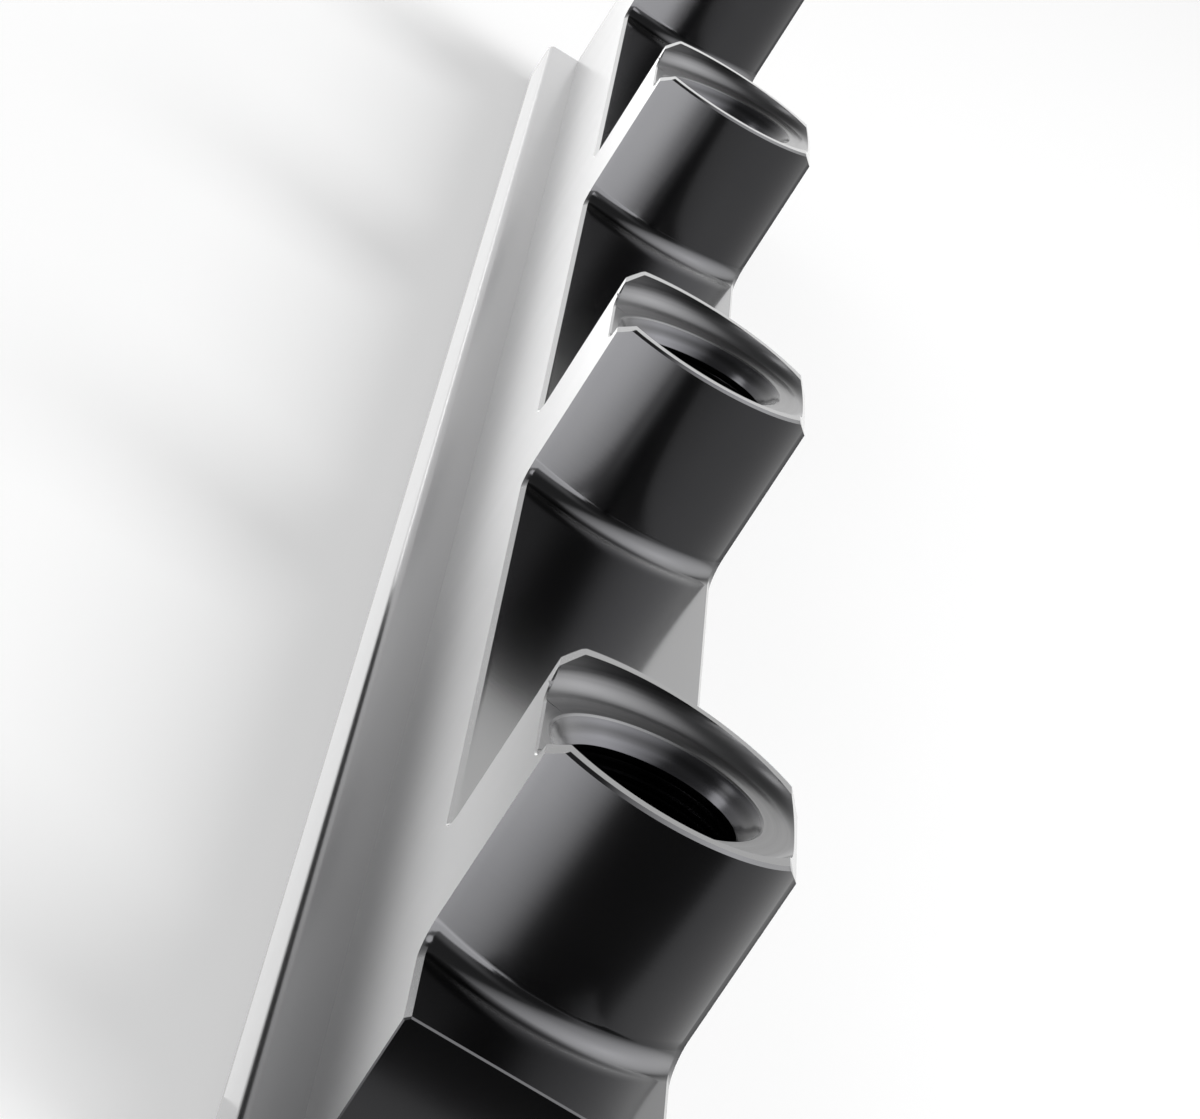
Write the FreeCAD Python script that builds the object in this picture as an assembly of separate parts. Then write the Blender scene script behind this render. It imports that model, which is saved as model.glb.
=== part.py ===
import FreeCAD, Part
import math
import os

# Billet fuel rail for one bank of a V8 engine, made from one extruded and milled aluminium bar.
# The origin is at the bottom centre of the foot, +X runs along the rail and +Z up to the injector bosses.
# All sizes are in millimetres and all angles in degrees.

# Rail length
boss_count = 4
boss_pitch = 111.76
end_length = 23.3

# Extruded section
body_width = 20.0
foot_width = 29.2
foot_height = 6.1
foot_edge_radius = 0.8
foot_bottom_chamfer = 0.5
ledge_radius = 0.5
bar_height = 39.2
bar_corner_chamfer = 1.3

# Bosses left standing by the end mill, with their centres beside the middle of the body
rail_height = 22.0
boss_radius = 13.2
boss_offset = 1.64
boss_base_radius = 2.0
boss_rim_chamfer = 0.25
side_edge_break = 0.4
end_edge_break = 0.13

# Injector pockets, turned about an axis that leans to +Y and leaves the boss face at the offset
bore_tilt = 6.5
bore_offset = 1.35
bore_diameter = 14.0
bore_length = 14.0
mouth_diameter = 16.4
mouth_depth = 2.0
lead_in_length = 1.75
dish_diameter = 24.0
dish_bend_radius = 1.8
feed_diameter = 6.0

# Fuel gallery and the O-ring port at each end of it
gallery_diameter = 11.0
gallery_height = 10.0
port_diameter = 13.0
port_depth = 15.5
port_seat_diameter = 15.7
port_seat_angle = 12.0
port_seat_depth = 2.5
drill_point_angle = 118.0

# Room that cutters reach past the faces they cut, and the distance under which two places count as one
cutter_room = 3.0
same_place = 0.001

# Distance from a quarter arc's centre to the arc's middle, along each of its two sides, for a radius of 1
quarter_middle = math.sin(math.radians(45))

rail_length = (boss_count - 1) * boss_pitch + 2 * end_length
boss_places = [(i - (boss_count - 1) / 2) * boss_pitch for i in range(boss_count)]


def vec(x, y, z):
    return FreeCAD.Vector(x, y, z)


def rounded_face(corners):
    # A flat face through corner points, each with the radius of its rounding
    edges = []
    count = len(corners)
    starts = []
    ends = []
    for i, (point, radius) in enumerate(corners):
        before = (corners[i - 1][0] - point).normalize()
        after = (corners[(i + 1) % count][0] - point).normalize()
        half_angle = before.getAngle(after) / 2
        reach = radius / math.tan(half_angle)
        first = point + before * reach
        last = point + after * reach
        if radius > 0:
            middle_way = (before + after).normalize()
            middle = point + middle_way * (radius / math.sin(half_angle) - radius)
            edges.append(Part.Arc(first, middle, last).toShape())
        starts.append(first)
        ends.append(last)
    for i in range(count):
        edges.append(Part.LineSegment(ends[i], starts[(i + 1) % count]).toShape())
    return Part.Face(Part.Wire(Part.__sortEdges__(edges)))


def bar_section(x):
    # Section of the extrusion: a foot with a ledge on both sides under a tall body
    body = body_width / 2
    foot = foot_width / 2
    half = [
        (foot - foot_bottom_chamfer, 0, 0),
        (foot, foot_bottom_chamfer, 0),
        (foot, foot_height, foot_edge_radius),
        (body, foot_height, ledge_radius),
        (body, bar_height - bar_corner_chamfer, 0),
        (body - bar_corner_chamfer, bar_height, 0),
    ]
    other = [(-y, z, radius) for y, z, radius in reversed(half)]
    return rounded_face([(vec(x, y, z), radius) for y, z, radius in half + other])


def extruded_bar():
    return bar_section(-rail_length / 2).extrude(vec(rail_length, 0, 0))


def turned(points, arcs):
    # A solid of revolution about Z through points in the XZ plane, where arcs gives a middle point by index
    edges = []
    for i in range(len(points)):
        start = points[i]
        end = points[(i + 1) % len(points)]
        if i in arcs:
            edges.append(Part.Arc(start, arcs[i], end).toShape())
        else:
            edges.append(Part.LineSegment(start, end).toShape())
    return Part.Face(Part.Wire(edges)).revolve(vec(0, 0, 0), vec(0, 0, 1), 360)


def boss_stock(x):
    # Boss as the end mill leaves it: a cylinder with a filleted base and a chamfered rim
    skirt = boss_radius + boss_base_radius
    bend = boss_base_radius * (1 - quarter_middle)
    points = [
        vec(0, 0, rail_height - cutter_room),
        vec(skirt, 0, rail_height - cutter_room),
        vec(skirt, 0, rail_height),
        vec(boss_radius, 0, rail_height + boss_base_radius),
        vec(boss_radius, 0, bar_height - boss_rim_chamfer),
        vec(boss_radius - boss_rim_chamfer - cutter_room, 0, bar_height + cutter_room),
        vec(0, 0, bar_height + cutter_room),
    ]
    base_bend = {2: vec(boss_radius + bend, 0, rail_height + bend)}
    stock = turned(points, base_bend)
    stock.translate(vec(x, boss_offset, 0))
    return stock


def milled_bar():
    # The bar with everything between and beyond the bosses milled down to the rail height
    slab = Part.makeBox(
        rail_length + 2 * cutter_room,
        foot_width,
        bar_height - rail_height + cutter_room / 2,
        vec(-rail_length / 2 - cutter_room, -foot_width / 2, rail_height),
    )
    for x in boss_places:
        slab = slab.cut(boss_stock(x))
    return extruded_bar().cut(slab)


def side_outline_edges(bar):
    # Edges of both side faces where the milled surfaces meet them
    chosen = []
    top = bar_height - bar_corner_chamfer
    for edge in bar.Edges:
        box = edge.BoundBox
        on_side = abs(abs(box.Center.y) - body_width / 2) < same_place and box.YLength < same_place
        milled = box.ZMax > rail_height - same_place and box.Center.z < top - same_place
        upright_end = abs(abs(box.Center.x) - rail_length / 2) < same_place
        if on_side and milled and not upright_end:
            chosen.append(edge)
    return chosen


def end_outline_edges(bar):
    # Edges round both end faces
    return [edge for edge in bar.Edges if abs(abs(edge.BoundBox.Center.x) - rail_length / 2) < same_place]


def broken_edges(bar):
    # The bar with its sharp milled edges and end edges broken
    bar = bar.makeChamfer(side_edge_break, side_outline_edges(bar))
    return bar.makeChamfer(end_edge_break, end_outline_edges(bar))


def injector_cutter(x):
    # Pocket of one boss, turned about the leaning axis: dish, lead-in cone, injector bore and feed drilling
    rim = dish_diameter / 2
    mouth = mouth_diameter / 2
    bore = bore_diameter / 2
    feed = feed_diameter / 2
    bend = dish_bend_radius * quarter_middle
    floor_end = rim - dish_bend_radius
    wall_start = dish_bend_radius - mouth_depth
    bore_top = -mouth_depth - lead_in_length
    bore_end = bore_top - bore_length
    feed_end = -(bar_height - gallery_height) / math.cos(math.radians(bore_tilt))
    points = [
        vec(0, 0, cutter_room),
        vec(rim, 0, cutter_room),
        vec(rim, 0, wall_start),
        vec(floor_end, 0, -mouth_depth),
        vec(mouth, 0, -mouth_depth),
        vec(bore, 0, bore_top),
        vec(bore, 0, bore_end),
        vec(feed, 0, bore_end),
        vec(feed, 0, feed_end),
        vec(0, 0, feed_end),
    ]
    dish_bend = {2: vec(floor_end + bend, 0, wall_start - bend)}
    cutter = turned(points, dish_bend)
    cutter.rotate(vec(0, 0, 0), vec(1, 0, 0), -bore_tilt)
    cutter.translate(vec(x, bore_offset, bar_height))
    return cutter


def port_cutter():
    # Drilled and seated port, with its mouth at the origin and its point along -Z
    seat = port_seat_diameter / 2
    drill = port_diameter / 2
    seat_end = seat - port_seat_depth * math.tan(math.radians(port_seat_angle))
    point = drill / math.tan(math.radians(drill_point_angle / 2))
    points = [
        vec(0, 0, cutter_room),
        vec(seat, 0, cutter_room),
        vec(seat, 0, 0),
        vec(seat_end, 0, -port_seat_depth),
        vec(drill, 0, -port_seat_depth),
        vec(drill, 0, -port_depth),
        vec(0, 0, -port_depth - point),
    ]
    return turned(points, {})


def gallery_cutter():
    # Fuel gallery along the whole rail with a port at each end
    along = vec(1, 0, 0)
    gallery = Part.makeCylinder(gallery_diameter / 2, rail_length, vec(-rail_length / 2, 0, gallery_height), along)
    for end in (-1, 1):
        port = port_cutter()
        port.rotate(vec(0, 0, 0), vec(0, 1, 0), 90 * end)
        port.translate(vec(end * rail_length / 2, 0, gallery_height))
        gallery = gallery.fuse(port)
    return gallery


def rail_body():
    body = broken_edges(milled_bar())
    for x in boss_places:
        body = body.cut(injector_cutter(x))
    return body.cut(gallery_cutter()).removeSplitter()


os.makedirs("parts", exist_ok=True)
body = rail_body()
body.exportStep("parts/rail_body.step")
print("rail_body", body.isValid(), len(body.Solids), round(body.Volume), body.BoundBox)
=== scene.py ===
import bpy
import bmesh
import math
from mathutils import Matrix, Vector


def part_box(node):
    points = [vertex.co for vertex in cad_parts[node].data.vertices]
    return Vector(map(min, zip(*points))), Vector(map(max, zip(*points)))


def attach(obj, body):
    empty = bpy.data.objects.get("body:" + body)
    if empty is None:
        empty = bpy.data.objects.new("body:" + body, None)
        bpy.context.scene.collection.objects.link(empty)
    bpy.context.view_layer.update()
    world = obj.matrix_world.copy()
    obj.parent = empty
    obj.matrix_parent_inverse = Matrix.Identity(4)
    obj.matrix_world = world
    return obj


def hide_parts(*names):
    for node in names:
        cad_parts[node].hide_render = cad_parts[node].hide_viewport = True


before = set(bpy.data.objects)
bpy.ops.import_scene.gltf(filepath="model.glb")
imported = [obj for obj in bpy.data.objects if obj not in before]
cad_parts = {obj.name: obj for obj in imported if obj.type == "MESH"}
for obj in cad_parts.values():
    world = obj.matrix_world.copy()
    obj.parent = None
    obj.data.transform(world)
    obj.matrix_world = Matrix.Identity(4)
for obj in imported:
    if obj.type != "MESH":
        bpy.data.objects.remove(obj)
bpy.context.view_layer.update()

# Billet fuel rail, black anodised. Sizes in the dictionaries are millimetres and degrees, and metres for what
# stands round the rail.
mm = 0.001
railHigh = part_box("rail_body")[1]
room = 3.0  # how far a cutter reaches past what it cuts
smoothAngle = 28  # a bend of less than this is shaded smooth

# the bar, its foot and the places of its bosses
rail = dict(
    halfLength=railHigh.x / mm,
    halfWidth=10.0,
    footHalfWidth=railHigh.y / mm,
    footHeight=6.1,
    footEdgeRadius=0.8,
    footEdgeSteps=6,
    footChamfer=0.5,
    ledgeRadius=0.5,
    ledgeSteps=4,
    topHeight=22.0,
    faceHeight=railHigh.z / mm,
    cornerChamfer=1.3,
    edgeBreak=0.4,
    endBreak=0.13,
    bosses=4,
    pitch=111.76,
)
bossPlaces = [(i - (rail["bosses"] - 1) / 2) * rail["pitch"] for i in range(rail["bosses"])]


def pickOnly(obj):
    bpy.ops.object.select_all(action="DESELECT")
    obj.select_set(True)
    bpy.context.view_layer.objects.active = obj


def placeInMesh(obj):
    # the object's own place, turn and scale go into its mesh
    pickOnly(obj)
    bpy.ops.object.transform_apply(location=True, rotation=True, scale=True)


def block(name, low, high):
    bpy.ops.object.select_all(action="DESELECT")
    bpy.ops.mesh.primitive_cube_add(size=1, location=(Vector(low) + Vector(high)) * (mm / 2))
    obj = bpy.context.object
    obj.name = name
    obj.scale = (Vector(high) - Vector(low)) * mm
    placeInMesh(obj)
    return obj


def turnedForm(name, rings, steps):
    # a form turned on the lathe, extruded ring by ring from (radius, height) pairs, closed at both ends
    radius, height = rings[0]
    bpy.ops.object.select_all(action="DESELECT")
    bpy.ops.mesh.primitive_circle_add(
        vertices=steps, radius=radius * mm, fill_type="NGON", location=(0, 0, height * mm)
    )
    obj = bpy.context.object
    obj.name = name
    placeInMesh(obj)
    bpy.ops.object.mode_set(mode="EDIT")
    bpy.ops.mesh.select_mode(type="FACE")
    bpy.ops.mesh.select_all(action="SELECT")
    for nextRadius, nextHeight in rings[1:]:
        rise = (0, 0, (nextHeight - height) * mm)
        grow = nextRadius / radius
        bpy.ops.mesh.extrude_region_move(TRANSFORM_OT_translate={"value": rise})
        bpy.ops.transform.resize(value=(grow, grow, 1), center_override=(0, 0, nextHeight * mm))
        radius, height = nextRadius, nextHeight
    bpy.ops.mesh.select_all(action="SELECT")
    bpy.ops.mesh.normals_make_consistent(inside=False)
    bpy.ops.object.mode_set(mode="OBJECT")
    return obj


def arcRings(centreRadius, centreHeight, radius, startAngle, endAngle, steps):
    # points of an arc in the lathe profile, angles counted from the outward direction
    rings = []
    for i in range(steps + 1):
        angle = math.radians(startAngle + (endAngle - startAngle) * i / steps)
        rings.append((centreRadius + radius * math.cos(angle), centreHeight + radius * math.sin(angle)))
    return rings


def copyTo(obj, place, turn=None):
    # a copy with its own mesh, turned and then moved
    twin = obj.copy()
    twin.data = obj.data.copy()
    bpy.context.collection.objects.link(twin)
    twin.data.transform(Matrix.Translation(Vector(place) * mm) @ (turn or Matrix.Identity(4)))
    return twin


def combine(target, tool, operation):
    pickOnly(target)
    change = target.modifiers.new("combine", "BOOLEAN")
    change.operation = operation
    change.solver = "EXACT"
    change.object = tool
    bpy.ops.object.modifier_apply(modifier=change.name)
    bpy.data.objects.remove(tool)


def selectParts(obj, kind, wanted):
    # in edit mode, selects the edges or faces for which wanted(centre, direction) holds
    mesh = bmesh.from_edit_mesh(obj.data)
    bpy.ops.mesh.select_mode(type=kind)
    bpy.ops.mesh.select_all(action="DESELECT")
    if kind == "EDGE":
        for edge in mesh.edges:
            start, end = [v.co / mm for v in edge.verts]
            edge.select_set(wanted((start + end) / 2, (end - start).normalized()))
    else:
        for face in mesh.faces:
            face.select_set(wanted(face.calc_center_median() / mm, face.normal))
    mesh.select_flush_mode()
    bmesh.update_edit_mesh(obj.data)


def bevelEdges(obj, wanted, size, steps=1):
    pickOnly(obj)
    bpy.ops.object.mode_set(mode="EDIT")
    selectParts(obj, "EDGE", wanted)
    bpy.ops.mesh.bevel(offset=size * mm, segments=steps, affect="EDGES", profile=0.5)
    bpy.ops.object.mode_set(mode="OBJECT")


def near(value, goal, slack=0.01):
    return abs(value - goal) < slack


def lengthwise(way):
    return near(abs(way.x), 1)


boss = dict(radius=13.2, offset=1.64, baseRadius=2.0, baseSteps=8, rimChamfer=0.25, steps=192)


def bossStock():
    # what the end mill leaves standing: a cylinder with a rounded base and a chamfered rim
    skirt = boss["radius"] + boss["baseRadius"]
    base = rail["topHeight"]
    rim = rail["faceHeight"] - boss["rimChamfer"]
    past = boss["rimChamfer"] + room
    rings = [(skirt, base - room)]
    rings += arcRings(skirt, base + boss["baseRadius"], boss["baseRadius"], 270, 180, boss["baseSteps"])
    rings += [(boss["radius"], rim), (boss["radius"] - past, rim + past)]
    return turnedForm("bossStock", rings, boss["steps"])


def milledBody():
    # the body of the bar, a little narrow and too long, milled down between the bosses
    wide = rail["halfWidth"] - rail["edgeBreak"]
    reach = rail["halfLength"] + room
    top = rail["faceHeight"]
    body = block("milled_rail", (-reach, -wide, rail["footHeight"] / 2), (reach, wide, top))
    chamfer = rail["cornerChamfer"] - rail["edgeBreak"]
    bevelEdges(body, lambda at, way: near(at.z, top) and lengthwise(way), chamfer)
    slab = block(
        "slab",
        (-reach - room, -rail["footHalfWidth"], rail["topHeight"]),
        (reach + room, rail["footHalfWidth"], top + room / 2),
    )
    stock = bossStock()
    for x in bossPlaces:
        combine(slab, copyTo(stock, (x, boss["offset"], 0)), "DIFFERENCE")
    bpy.data.objects.remove(stock)
    combine(body, slab, "DIFFERENCE")
    # the side faces step out to the full width, which leaves the broken edge round their outline
    pickOnly(body)
    bpy.ops.object.mode_set(mode="EDIT")
    selectParts(body, "FACE", lambda at, normal: abs(normal.y) > 0.99 and near(abs(at.y), wide))
    bpy.ops.mesh.inset(thickness=rail["edgeBreak"] * mm, depth=rail["edgeBreak"] * mm)
    bpy.ops.object.mode_set(mode="OBJECT")
    return body


def addFoot(body):
    reach = rail["halfLength"] + room
    wide = rail["footHalfWidth"]
    top = rail["footHeight"]
    foot = block("foot", (-reach, -wide, 0), (reach, wide, top))
    bevelEdges(
        foot,
        lambda at, way: near(at.z, top) and lengthwise(way),
        rail["footEdgeRadius"], rail["footEdgeSteps"],
    )
    bevelEdges(foot, lambda at, way: near(at.z, 0) and lengthwise(way), rail["footChamfer"])
    combine(body, foot, "UNION")
    # the inner corner between the ledge and the side is rounded
    side = rail["halfWidth"]
    bevelEdges(
        body,
        lambda at, way: near(abs(at.y), side) and near(at.z, top) and lengthwise(way),
        rail["ledgeRadius"], rail["ledgeSteps"],
    )


def sawEnds(body):
    # both ends are cut to length and their sharp edges broken
    end = rail["halfLength"]
    pickOnly(body)
    bpy.ops.object.mode_set(mode="EDIT")
    for side in (-1, 1):
        bpy.ops.mesh.select_all(action="SELECT")
        bpy.ops.mesh.bisect(
            plane_co=(side * end * mm, 0, 0), plane_no=(side, 0, 0), use_fill=True, clear_outer=True
        )
    bpy.ops.object.mode_set(mode="OBJECT")
    bevelEdges(body, lambda at, way: near(abs(at.x), end) and near(way.x, 0), rail["endBreak"])


# each pocket is turned about an axis that leans to +Y and leaves the boss face at the offset
pocket = dict(
    tilt=6.5,
    offset=1.35,
    dishRadius=12.0,
    dishBend=1.8,
    bendSteps=12,
    mouthRadius=8.2,
    mouthDepth=2.0,
    mouthBreak=0.12,
    leadIn=1.75,
    boreRadius=7.0,
    boreLength=14.0,
    feedRadius=3.0,
    edgeBreak=0.18,
    steps=192,
)


def pocketCutter():
    # dish, lead-in cone, bore and feed drilling, with the boss face at height zero
    depth = pocket["mouthDepth"]
    bend = pocket["dishBend"]
    boreTop = -depth - pocket["leadIn"]
    boreEnd = boreTop - pocket["boreLength"]
    feedEnd = -(rail["faceHeight"] - gallery["height"]) / math.cos(math.radians(pocket["tilt"]))
    rings = [
        (pocket["feedRadius"], feedEnd),
        (pocket["feedRadius"], boreEnd),
        (pocket["boreRadius"], boreEnd),
        (pocket["boreRadius"], boreTop),
        (pocket["mouthRadius"] - pocket["mouthBreak"] / 2, -depth - pocket["mouthBreak"]),
        (pocket["mouthRadius"] + pocket["mouthBreak"], -depth),
    ]
    rings += arcRings(pocket["dishRadius"] - bend, bend - depth, bend, 270, 360, pocket["bendSteps"])
    rings.append((pocket["dishRadius"], room))
    return turnedForm("pocket", rings, pocket["steps"])


def turnPockets(body):
    cutter = pocketCutter()
    lean = Matrix.Rotation(math.radians(-pocket["tilt"]), 4, "X")
    for x in bossPlaces:
        combine(body, copyTo(cutter, (x, pocket["offset"], rail["faceHeight"]), lean), "DIFFERENCE")
    bpy.data.objects.remove(cutter)
    # where a dish runs out of the +Y side its edge is broken by hand
    side = rail["halfWidth"]
    corner = rail["faceHeight"] - rail["cornerChamfer"]
    low = corner - pocket["dishBend"]
    bevelEdges(
        body,
        lambda at, way: near(at.y, side) and low < at.z < corner - 0.01 and abs(way.x) > 0.1,
        pocket["edgeBreak"],
    )


gallery = dict(radius=5.5, height=10.0, steps=64)
port = dict(
    seatRadius=7.85,
    seatDepth=2.5,
    seatAngle=12.0,
    majorRadius=7.14,
    minorRadius=6.5,
    pointRadius=2.75,
    pointDepth=3.25,
    steps=96,
    threadPitch=25.4 / 18,
    threadEnd=15.5,
    threadSteps=72,
    # the thread's ridge: how far its root lies in the wall, and its half widths and its start in pitches
    rootSink=0.05,
    rootHalfWidth=0.44,
    crestHalfWidth=0.07,
    threadStart=0.6,
)


def portCutter():
    # seat, thread and drill point of one port, with its mouth at height zero
    seatEnd = port["seatRadius"] - port["seatDepth"] * math.tan(math.radians(port["seatAngle"]))
    rings = [
        (port["pointRadius"], -port["threadEnd"] - port["pointDepth"]),
        (port["minorRadius"], -port["threadEnd"]),
        (port["majorRadius"], -port["threadEnd"]),
        (port["majorRadius"], -port["seatDepth"]),
        (seatEnd, -port["seatDepth"]),
        (port["seatRadius"], 0),
        (port["seatRadius"], room),
    ]
    return turnedForm("port", rings, port["steps"])


def portPlace(end):
    return (end * rail["halfLength"], 0, gallery["height"])


def outOfEnd(end):
    # the turn that lays an upright form along the bar, its top out of the far end (1) or the near end (-1)
    return Matrix.Rotation(math.radians(90 * end), 4, "Y")


def drillGallery(body):
    reach = rail["halfLength"] + room
    bore = turnedForm("gallery", [(gallery["radius"], -reach), (gallery["radius"], reach)], gallery["steps"])
    combine(body, copyTo(bore, (0, 0, gallery["height"]), outOfEnd(1)), "DIFFERENCE")
    bpy.data.objects.remove(bore)
    mouth = portCutter()
    for end in (-1, 1):
        combine(body, copyTo(mouth, portPlace(end), outOfEnd(end)), "DIFFERENCE")
    bpy.data.objects.remove(mouth)


def railPiece():
    body = milledBody()
    print("body milled")
    addFoot(body)
    sawEnds(body)
    print("foot added and ends sawn")
    turnPockets(body)
    print("pockets turned")
    drillGallery(body)
    print("gallery and ports drilled")
    pickOnly(body)
    bpy.ops.object.shade_smooth_by_angle(angle=math.radians(smoothAngle))
    return body


def portThread(name, end):
    # the tapped thread of one port: a V ridge wound round the hole by the screw modifier
    pitch = port["threadPitch"]
    root = port["majorRadius"] + port["rootSink"]
    crest = port["minorRadius"]
    rootHalf = port["rootHalfWidth"]
    crestHalf = port["crestHalfWidth"]
    bpy.ops.object.select_all(action="DESELECT")
    bpy.ops.mesh.primitive_plane_add(size=1)
    thread = bpy.context.object
    thread.name = name
    # the plane's corners go (-, -), (+, -), (-, +), (+, +)
    profile = ((root, -rootHalf), (root, rootHalf), (crest, -crestHalf), (crest, crestHalf))
    for vertex, (radius, height) in zip(thread.data.vertices, profile):
        vertex.co = (radius * mm, 0, height * pitch * mm)
    bpy.ops.object.mode_set(mode="EDIT")
    bpy.ops.mesh.select_all(action="SELECT")
    bpy.ops.mesh.delete(type="ONLY_FACE")
    bpy.ops.object.mode_set(mode="OBJECT")
    screw = thread.modifiers.new("thread", "SCREW")
    screw.axis = "Z"
    screw.screw_offset = pitch * mm
    screw.iterations = int((port["threadEnd"] - port["seatDepth"]) / pitch) - 1
    screw.steps = port["threadSteps"]
    screw.render_steps = port["threadSteps"]
    screw.use_merge_vertices = False
    bpy.ops.object.modifier_apply(modifier="thread")
    start = port["threadEnd"] - port["threadStart"] * pitch
    inward = Matrix.Translation((0, 0, -start * mm))
    thread.data.transform(Matrix.Translation(Vector(portPlace(end)) * mm) @ outOfEnd(end) @ inward)
    pickOnly(thread)
    bpy.ops.object.mode_set(mode="EDIT")
    bpy.ops.mesh.select_all(action="SELECT")
    bpy.ops.mesh.normals_make_consistent(inside=False)
    bpy.ops.object.mode_set(mode="OBJECT")
    bpy.ops.object.shade_smooth_by_angle(angle=math.radians(smoothAngle))
    return thread


touch = 0.05  # how far the middle of a face may lie from the surface it belongs to


def pocketView(at):
    # a place as seen from the nearest pocket's axis: radius, height along the axis, way out from it
    nearest = min(bossPlaces, key=lambda x: abs(x - at.x))
    lean = math.radians(pocket["tilt"])
    axis = Vector((0, math.sin(lean), math.cos(lean)))
    step = at - Vector((nearest, pocket["offset"], rail["faceHeight"]))
    height = step.dot(axis)
    out = step - axis * height
    return out.length, height, out.normalized(), axis


def onPocket(at, normal):
    radius, height, out, axis = pocketView(at)
    above = at.z > rail["faceHeight"] - touch
    if radius > pocket["dishRadius"] + touch or above or at.z < gallery["height"]:
        return False
    facesIn = normal.dot(out) < -0.05
    dishFloor = normal.dot(axis) > 0.98 and height < 0.2 - pocket["mouthDepth"]
    return facesIn or dishFloor


def onBore(at, normal):
    # the lead-in cone, the bore and the feed drilling
    radius, height = pocketView(at)[:2]
    inside = radius < pocket["mouthRadius"] and height < -pocket["mouthDepth"] - touch
    return inside and onPocket(at, normal)


def onExtrusion(at, normal):
    # the faces that run along the bar below the bosses: sides, underside and the ledge with its two bends
    side = abs(at.y) > rail["halfWidth"] - 0.01
    underside = at.z < rail["footChamfer"]
    ledge = near(at.z, rail["footHeight"], 0.6)
    return abs(normal.x) < 0.1 and (side or underside or ledge)


def onBossWall(at, normal):
    aboveBend = at.z > rail["topHeight"] + boss["baseRadius"]
    return aboveBend and abs(normal.z) < 0.05 and abs(normal.y) < 0.999 and not onPocket(at, normal)


def inGallery(at, normal):
    radius = math.hypot(at.y, at.z - gallery["height"])
    return radius < port["seatRadius"] + touch and abs(normal.x) < 0.999


def finishFaces(obj, materials):
    # the milled finish everywhere, and the others where their own cut or the press left the surface
    obj.data.materials.clear()
    for material in materials:
        obj.data.materials.append(material)
    pickOnly(obj)
    bpy.ops.object.mode_set(mode="EDIT")
    bpy.ops.mesh.select_all(action="SELECT")
    obj.active_material_index = 0
    bpy.ops.object.material_slot_assign()
    for index, wanted in enumerate((onExtrusion, onBossWall, onPocket, onBore, inGallery), start=1):
        selectParts(obj, "FACE", wanted)
        obj.active_material_index = index
        bpy.ops.object.material_slot_assign()
    bpy.ops.object.mode_set(mode="OBJECT")


def linearColor(hexText):
    # sRGB hex to the linear colour that the shader sockets hold
    channels = [int(hexText[i:i + 2], 16) / 255 for i in (1, 3, 5)]
    return tuple(c / 12.92 if c <= 0.04045 else ((c + 0.055) / 1.055) ** 2.4 for c in channels) + (1,)


def addNode(tree, kind, settings=None, links=None):
    # one node, with its input values or own properties set and its inputs linked
    node = tree.nodes.new(kind)
    for key, value in (settings or {}).items():
        if isinstance(key, int) or key in node.inputs:
            node.inputs[key].default_value = value
        else:
            setattr(node, key, value)
    for key, source in (links or {}).items():
        tree.links.new(source, node.inputs[key])
    return node


def newMaterial(name):
    material = bpy.data.materials.new(name)
    material.use_nodes = True
    tree = material.node_tree
    tree.nodes.clear()
    return material, tree


def ownPlace(tree):
    # where a point lies in the object's own coordinates
    return addNode(tree, "ShaderNodeTexCoord").outputs["Object"]


# Black anodised aluminium: a dyed and sealed oxide skin over the metal. Face on it is nearly black and at a
# low angle it turns bright, so the metal's colour is very dark and the clear skin over it is a weak coat.
# Each finish below has its tones (dark, light), its gloss (smooth, rough) and the spacing, length and depth
# of its tool marks, with finer marks between them.
anodised = dict(tones=("#2e2e30", "#353536"), cloudSize=12.0, coatIor=1.2)


def anodisedShader(tree, finish, place, normal, paintedStreaks=None):
    # slow changes of the dye and of the gloss, over about a centimetre
    cloud = addNode(tree, "ShaderNodeTexNoise", {
        "Scale": 1 / (anodised["cloudSize"] * mm), "Detail": 3.0, "Roughness": 0.55,
    }, {"Vector": place}).outputs["Fac"]
    dark, light = finish.get("tones", anodised["tones"])
    smooth, rough = finish["gloss"]
    color = addNode(tree, "ShaderNodeMix", {
        "data_type": "RGBA", 6: linearColor(dark), 7: linearColor(light),
    }, {0: cloud}).outputs[2]
    gloss = addNode(tree, "ShaderNodeMapRange", {"To Min": smooth, "To Max": rough}, {"Value": cloud})
    # painted streaks: the colour is made lighter or darker along the rings, a painted highlight and painted
    # shade
    if paintedStreaks is not None:
        scaled = addNode(tree, "ShaderNodeVectorMath", {"operation": "SCALE"}, {0: color, "Scale": paintedStreaks})
        color = scaled.outputs[0]
    # the tangent runs round the bar, for a finish whose highlight is spread across its length
    around = addNode(tree, "ShaderNodeTangent", {"direction_type": "RADIAL", "axis": "X"}).outputs[0]
    shader = addNode(tree, "ShaderNodeBsdfPrincipled", {
        "Metallic": 1.0,
        "Anisotropic": finish.get("spread", 0.0),
        "Coat Weight": 1.0,
        "Coat Roughness": finish["coatRough"],
        "Coat IOR": anodised["coatIor"],
    }, {
        "Base Color": color,
        "Roughness": gloss.outputs[0],
        "Normal": normal,
        "Coat Normal": normal,
        "Tangent": around,
    })
    addNode(tree, "ShaderNodeOutputMaterial", {}, {"Surface": shader.outputs["BSDF"]})


def bumpOf(tree, finish, height):
    settings = {"Strength": finish["strength"], "Distance": finish["depth"] * mm}
    return addNode(tree, "ShaderNodeBump", settings, {"Height": height}).outputs[0]


def toolMarks(tree, finish, path):
    # marks at the finish's spacing along a path
    count = addNode(tree, "ShaderNodeMath", {
        "operation": "MULTIPLY", 1: 1 / (finish["spacing"] * mm),
    }, {0: path}).outputs[0]
    marks = addNode(tree, "ShaderNodeTexNoise", {
        "noise_dimensions": "1D", "Scale": 1.0, "Detail": 2.0,
    }, {"W": count})
    return marks.outputs["Fac"]


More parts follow.
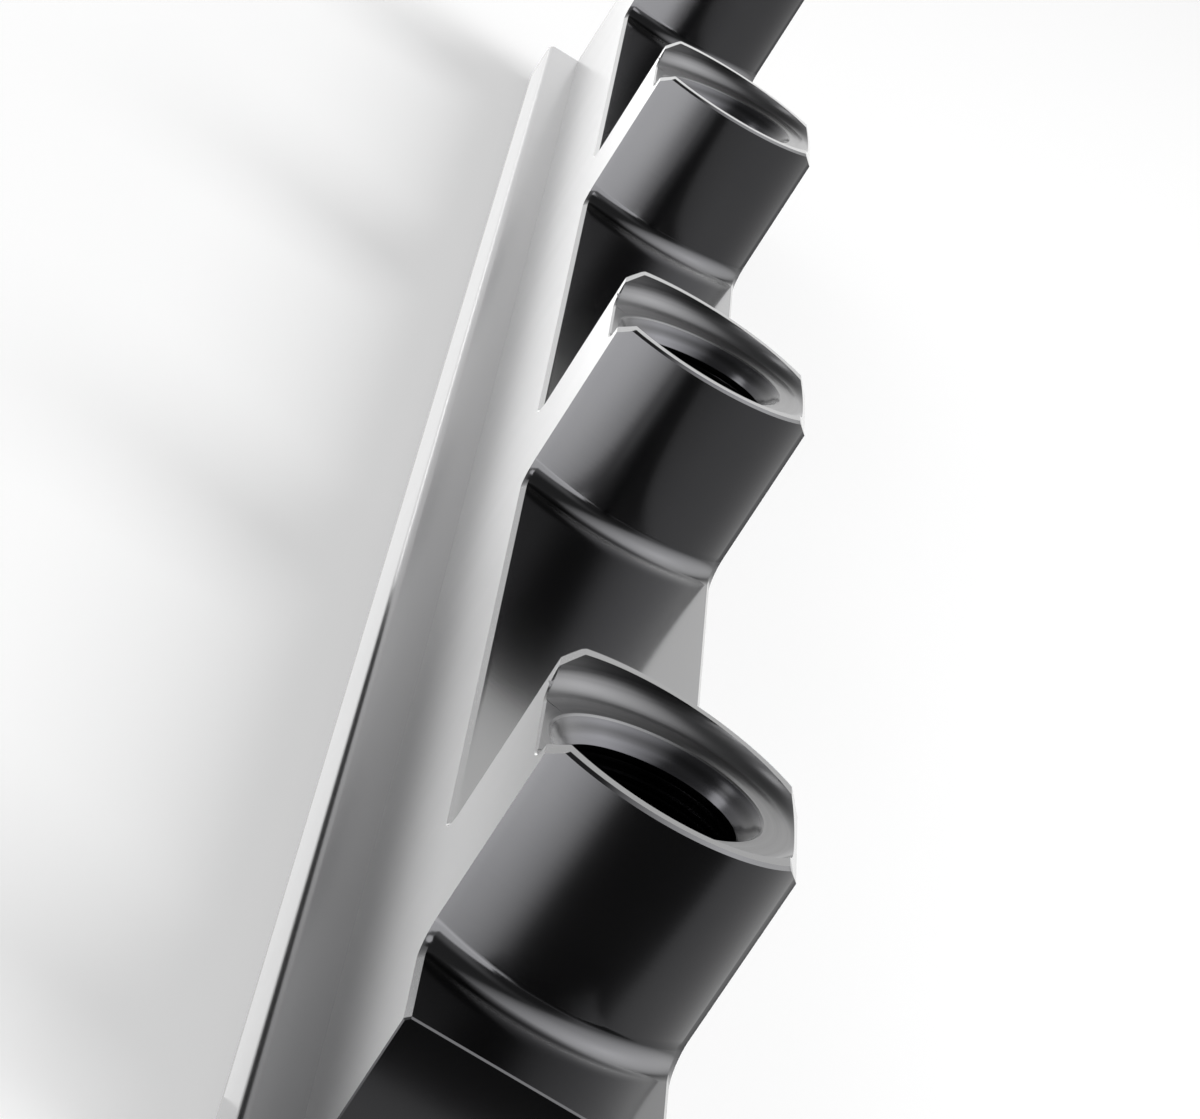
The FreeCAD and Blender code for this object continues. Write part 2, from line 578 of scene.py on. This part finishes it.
def stretchedMarks(tree, finish, place, cell):
    # marks drawn out along one or two axes: cell is the size of one mark
    drawn = addNode(tree, "ShaderNodeMapping", {
        "Scale": tuple(1 / (side * mm) for side in cell),
    }, {"Vector": place})
    marks = addNode(tree, "ShaderNodeTexNoise", {"Scale": 1.0, "Detail": 2.0}, {"Vector": drawn.outputs[0]})
    return bumpOf(tree, finish, marks.outputs["Fac"])


# anodised extrusion: the die leaves fine lines along the bar, and the etch before the dye makes it satin
extruded = dict(
    spacing=0.3,
    length=60.0,
    strength=0.3,
    depth=0.001,
    tones=("#404042", "#48484a"),
    gloss=(0.27, 0.31),
    coatRough=0.2,
    spread=0.85,
)


def extrudedFinish():
    material, tree = newMaterial("black anodised extrusion")
    place = ownPlace(tree)
    cell = (extruded["length"], extruded["spacing"], extruded["spacing"])
    dieLines = stretchedMarks(tree, extruded, place, cell)
    anodisedShader(tree, extruded, place, dieLines)
    return material


# anodised milled face: an end mill leaves shallow arcs at each step of its feed, drawn coarser than the real
# step of about 0.3 mm so that they show
milled = dict(cutterRadius=12.5, spacing=0.7, strength=0.35, depth=0.002, gloss=(0.12, 0.17), coatRough=0.1)


def milledFinish():
    material, tree = newMaterial("black anodised milled face")
    place = ownPlace(tree)
    x, y = addNode(tree, "ShaderNodeSeparateXYZ", {}, {0: place}).outputs[:2]
    # the arc's height over the middle line is the root of the cutter's radius squared less y squared
    squared = addNode(tree, "ShaderNodeMath", {"operation": "MULTIPLY"}, {0: y, 1: y}).outputs[0]
    rest = addNode(tree, "ShaderNodeMath", {
        "operation": "SUBTRACT", 0: (milled["cutterRadius"] * mm) ** 2,
    }, {1: squared}).outputs[0]
    within = addNode(tree, "ShaderNodeMath", {"operation": "MAXIMUM", 1: 0.0}, {0: rest}).outputs[0]
    arc = addNode(tree, "ShaderNodeMath", {"operation": "SQRT"}, {0: within}).outputs[0]
    path = addNode(tree, "ShaderNodeMath", {"operation": "ADD"}, {0: x, 1: arc}).outputs[0]
    marks = toolMarks(tree, milled, path)
    anodisedShader(tree, milled, place, bumpOf(tree, milled, marks))
    return material


# anodised boss wall: the side of the end mill leaves faint level lines, again a little coarser than real
bossWall = dict(spacing=0.4, strength=0.3, depth=0.003, gloss=(0.17, 0.22), coatRough=0.15)


def wallFinish():
    material, tree = newMaterial("black anodised boss wall")
    place = ownPlace(tree)
    height = addNode(tree, "ShaderNodeSeparateXYZ", {}, {0: place}).outputs["Z"]
    marks = toolMarks(tree, bossWall, height)
    anodisedShader(tree, bossWall, place, bumpOf(tree, bossWall, marks))
    return material


# anodised turned surfaces: the tool leaves fine rings round the leaning axis, drawn coarser and deeper than
# those of its real feed of about 0.1 mm, so that they show. How much lighter their crests and how much darker
# their roots are painted is set for each finish: a painted highlight and painted shade in streaks.
dish = dict(
    spacing=0.4,
    strength=1.0,
    depth=0.008,
    paintedRingLight=0.12,
    tones=("#39393a", "#404041"),
    gloss=(0.3, 0.36),
    coatRough=0.16,
)
# the bore's tones are darker than the dish's: a painted shade for the hollow of the pocket
bore = dict(
    spacing=0.5,
    strength=1.0,
    depth=0.09,
    paintedRingLight=0.85,
    tones=("#202022", "#2a2a2c"),
    gloss=(0.2, 0.26),
    coatRough=0.16,
)


def turnedFinish(name, finish):
    material, tree = newMaterial(name)
    place = ownPlace(tree)
    x, y, z = addNode(tree, "ShaderNodeSeparateXYZ", {}, {0: place}).outputs
    # every pocket is brought to the same place, and that to the leaning axis
    half = rail["pitch"] / 2 * mm
    shifted = addNode(tree, "ShaderNodeMath", {"operation": "ADD", 1: -bossPlaces[0] * mm}, {0: x}).outputs[0]
    wrapped = addNode(tree, "ShaderNodeMath", {"operation": "WRAP", 1: half, 2: -half}, {0: shifted})
    same = addNode(tree, "ShaderNodeCombineXYZ", {}, {"X": wrapped.outputs[0], "Y": y, "Z": z}).outputs[0]
    leaned = addNode(tree, "ShaderNodeMapping", {
        "vector_type": "TEXTURE",
        "Location": (0, pocket["offset"] * mm, rail["faceHeight"] * mm),
        "Rotation": (math.radians(-pocket["tilt"]), 0, 0),
    }, {"Vector": same}).outputs[0]
    along, across, height = addNode(tree, "ShaderNodeSeparateXYZ", {}, {0: leaned}).outputs
    level = addNode(tree, "ShaderNodeCombineXYZ", {}, {"X": along, "Y": across}).outputs[0]
    radius = addNode(tree, "ShaderNodeVectorMath", {"operation": "LENGTH"}, {0: level}).outputs["Value"]
    # rings counted along the turned outline, in from the rim and down the bore
    path = addNode(tree, "ShaderNodeMath", {"operation": "SUBTRACT"}, {0: radius, 1: height}).outputs[0]
    rings = toolMarks(tree, finish, path)
    # the crests of the rings are painted lighter and their roots darker: painted highlight and painted shade
    crest = addNode(tree, "ShaderNodeMapRange", {
        "From Min": 0.35,
        "From Max": 0.65,
        "To Min": 1 - finish["paintedRingLight"],
        "To Max": 1 + finish["paintedRingLight"],
    }, {"Value": rings}).outputs[0]
    anodisedShader(tree, finish, place, bumpOf(tree, finish, rings), crest)
    return material


# anodised drilled hole: duller than the turned pocket, with slight chatter round its wall
hole = dict(spacing=0.3, length=6.0, strength=0.5, depth=0.004, gloss=(0.3, 0.4), coatRough=0.25)


def drilledFinish():
    material, tree = newMaterial("black anodised drilled hole")
    place = ownPlace(tree)
    cell = (hole["spacing"], hole["length"], hole["length"])
    chatter = stretchedMarks(tree, hole, place, cell)
    anodisedShader(tree, hole, place, chatter)
    return material


# white paper: it glows a little for the camera and more for what mirrors it, and still takes the shadow
paper = dict(size=12.0, color="#fcfcfc", seenGlow=0.4, mirroredGlow=0.85)


def whiteFloor():
    bpy.ops.object.select_all(action="DESELECT")
    bpy.ops.mesh.primitive_plane_add(size=paper["size"], location=(0, 0, 0))
    floor = bpy.context.object
    floor.name = "floor"
    material, tree = newMaterial("white paper sweep")
    ray = addNode(tree, "ShaderNodeLightPath").outputs
    mirrored = addNode(tree, "ShaderNodeMath", {"operation": "MAXIMUM"}, {
        0: ray["Is Glossy Ray"], 1: ray["Is Transmission Ray"],
    }).outputs[0]
    seen = addNode(tree, "ShaderNodeMath", {
        "operation": "MULTIPLY", 1: paper["seenGlow"],
    }, {0: ray["Is Camera Ray"]}).outputs[0]
    share = addNode(tree, "ShaderNodeMath", {
        "operation": "MULTIPLY_ADD", 1: paper["mirroredGlow"],
    }, {0: mirrored, 2: seen}).outputs[0]
    sheet = addNode(tree, "ShaderNodeBsdfDiffuse", {"Color": linearColor(paper["color"])})
    glow = addNode(tree, "ShaderNodeEmission", {"Color": linearColor("#ffffff"), "Strength": 1.0})
    both = addNode(tree, "ShaderNodeMixShader", {}, {0: share, 1: sheet.outputs[0], 2: glow.outputs[0]})
    addNode(tree, "ShaderNodeOutputMaterial", {}, {"Surface": both.outputs[0]})
    floor.data.materials.append(material)


# the studio is bright round the horizon, dim overhead and dark behind the camera. A fade is two heights or
# two ways along the bar, on a direction of length 1.
studio = dict(horizon=1.35, overhead=0.3, heightFade=(0.42, 0.68), behind=0.15, behindFade=(-0.95, -0.7))


def studioWorld():
    world = bpy.data.worlds.new("studio")
    bpy.context.scene.world = world
    world.use_nodes = True
    tree = world.node_tree
    tree.nodes.clear()
    place = addNode(tree, "ShaderNodeTexCoord").outputs["Generated"]
    way = addNode(tree, "ShaderNodeSeparateXYZ", {}, {0: place}).outputs
    level = addNode(tree, "ShaderNodeMapRange", {
        "interpolation_type": "SMOOTHSTEP",
        "From Min": studio["heightFade"][0],
        "From Max": studio["heightFade"][1],
        "To Min": studio["horizon"],
        "To Max": studio["overhead"],
    }, {"Value": way["Z"]}).outputs[0]
    forward = addNode(tree, "ShaderNodeMapRange", {
        "interpolation_type": "SMOOTHSTEP",
        "From Min": studio["behindFade"][0],
        "From Max": studio["behindFade"][1],
        "To Min": studio["behind"],
        "To Max": 1.0,
    }, {"Value": way["X"]}).outputs[0]
    strength = addNode(tree, "ShaderNodeMath", {"operation": "MULTIPLY"}, {0: level, 1: forward}).outputs[0]
    light = addNode(tree, "ShaderNodeBackground", {"Color": linearColor("#ffffff")}, {"Strength": strength})
    addNode(tree, "ShaderNodeOutputWorld", {}, {"Surface": light.outputs[0]})


def facingRail(place):
    # the turn that points a lamp or a panel at the middle of the rail
    return (-Vector(place)).to_track_quat("-Z", "Y").to_euler()


def softBox(name, place, size, power):
    # a large soft box that lights the paper, so that the rail's shadow falls to the seen side
    data = bpy.data.lights.new(name, "AREA")
    data.shape = "SQUARE"
    data.size = size
    data.energy = power
    lamp = bpy.data.objects.new(name, data)
    bpy.context.collection.objects.link(lamp)
    lamp.location = place
    lamp.rotation_euler = facingRail(place)
    lamp.visible_camera = False
    lamp.visible_glossy = False


# Panels and cards held outside the picture, which only the gloss of the metal shows: painted reflections. The
# glowing ones are no lamps and paint highlights and pools of light into the metal, the dark ones paint dark
# reflections where there is only shade. Glow is a glowing one's strength, the others are dark paper. Fade is
# the share of the width over which a card goes clear: from its near edge, or all round if it is round. A
# painted pool of light on the paper and a painted lit board behind it, past a painted dark patch, stand for
# strong light from the low left, and the foot's top bend mirrors a painted lit strip on the paper and a
# painted dark edge.
flat = (0, 0, 0)
upright = (math.radians(-90), 0, 0)
panelAbove = (-0.2, -0.75, 1.0)
panelLeft = (-0.08, 0.85, 0.56)
cards = {
    "painted highlight panel above": dict(
        place=panelAbove, size=(3.2, 3.2), turn=facingRail(panelAbove), glow=8.0, fade=1.0, round=True
    ),
    "painted highlight panel at the left": dict(
        place=panelLeft, size=(0.4, 0.4), turn=facingRail(panelLeft), glow=7.0, fade=0.4, round=True
    ),
    "painted pool of light on the paper": dict(place=(-0.05, 0.13, 0.0012), size=(1.1, 0.2), turn=flat, glow=8.5, fade=0.45),
    "painted lit board": dict(place=(-0.2, 0.23, 0.05), size=(1.1, 0.1), turn=upright, glow=7.0, fade=0.2),
    "painted dark patch": dict(place=(-0.065, 0.062, 0.0018), size=(0.24, 0.07), turn=flat, fade=0.4, round=True),
    "painted lit strip": dict(place=(0.22, 0.026, 0.0009), size=(0.78, 0.024), turn=flat, glow=1.2, fade=0.01),
    "painted dark strip": dict(place=(-0.1, 0.026, 0.009), size=(0.14, 0.018), turn=upright, fade=0.01),
    "painted dark card": dict(place=(-0.53, -0.13, 0.0006), size=(0.6, 0.36), turn=flat, fade=0.01),
}
# the grey of the dark cards, a painted dark reflection
paintedDarkReflection = "#505050"


def cardMaterial(name, card):
    # glowing for a painted highlight or dark grey for a painted dark reflection, and clear where it has faded
    # out
    material, tree = newMaterial(name)
    place = addNode(tree, "ShaderNodeTexCoord").outputs["UV"]
    if "glow" in card:
        surface = addNode(tree, "ShaderNodeEmission", {"Strength": card["glow"]})
    else:
        surface = addNode(tree, "ShaderNodeBsdfDiffuse", {"Color": linearColor(paintedDarkReflection)})
    if card.get("round"):
        centred = addNode(tree, "ShaderNodeMapping", {
            "Location": (-1, -1, 0), "Scale": (2, 2, 0),
        }, {"Vector": place}).outputs[0]
        level = addNode(tree, "ShaderNodeTexGradient", {"gradient_type": "SPHERICAL"}, {"Vector": centred})
        level = level.outputs["Fac"]
    else:
        level = addNode(tree, "ShaderNodeSeparateXYZ", {}, {0: place}).outputs["Y"]
    share = addNode(tree, "ShaderNodeMapRange", {"From Max": card["fade"]}, {"Value": level}).outputs[0]
    clear = addNode(tree, "ShaderNodeBsdfTransparent")
    both = addNode(tree, "ShaderNodeMixShader", {}, {0: share, 1: clear.outputs[0], 2: surface.outputs[0]})
    addNode(tree, "ShaderNodeOutputMaterial", {}, {"Surface": both.outputs[0]})
    return material


def reflectionCard(name, card):
    # a card that only the metal's gloss sees: a painted highlight or painted dark reflection
    bpy.ops.object.select_all(action="DESELECT")
    bpy.ops.mesh.primitive_plane_add(size=1, location=card["place"], rotation=card["turn"])
    sheet = bpy.context.object
    sheet.name = name
    sheet.scale = (*card["size"], 1)
    placeInMesh(sheet)
    sheet.data.materials.append(cardMaterial(name, card))
    sheet.visible_camera = False
    sheet.visible_diffuse = False
    sheet.visible_shadow = False


# where the photograph was taken from, with the camera held at a slant
photo = dict(
    place=(-473.22, 51.21, 138.02),
    right=(0.04672854, -0.84988435, 0.52489335),
    up=(0.29993276, 0.51315836, 0.8041821),
    sensor=36,
    lens=140.2,
    nearest=10,
)


def photoCamera():
    data = bpy.data.cameras.new("camera")
    data.sensor_width = photo["sensor"]
    data.lens = photo["lens"]
    data.clip_start = photo["nearest"] * mm
    camera = bpy.data.objects.new("camera", data)
    bpy.context.collection.objects.link(camera)
    right = Vector(photo["right"])
    up = Vector(photo["up"])
    turn = Matrix((right, up, right.cross(up))).transposed().to_4x4()
    camera.matrix_world = Matrix.Translation(Vector(photo["place"]) * mm) @ turn
    bpy.context.scene.camera = camera


drilled = drilledFinish()
skin = railPiece()
dished = turnedFinish("black anodised turned dish", dish)
bored = turnedFinish("black anodised injector bore", bore)
finishFaces(skin, [milledFinish(), extrudedFinish(), wallFinish(), dished, bored, drilled])
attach(skin, "root")
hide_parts("rail_body")
print("rail", len(skin.data.polygons), "faces")

for name, end in (("near_port_thread", -1), ("far_port_thread", 1)):
    thread = portThread(name, end)
    thread.data.materials.clear()
    thread.data.materials.append(drilled)
    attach(thread, "root")
print("threads cut")

whiteFloor()
studioWorld()
softBox("right box", place=(-0.3, -1.0, 1.2), size=1.0, power=19)
# the glowing cards paint highlights and pools of light, the dark cards paint dark reflections
for name, card in cards.items():
    reflectionCard(name, card)
photoCamera()
bpy.context.scene.view_settings.view_transform = "Standard"
print("stage set")
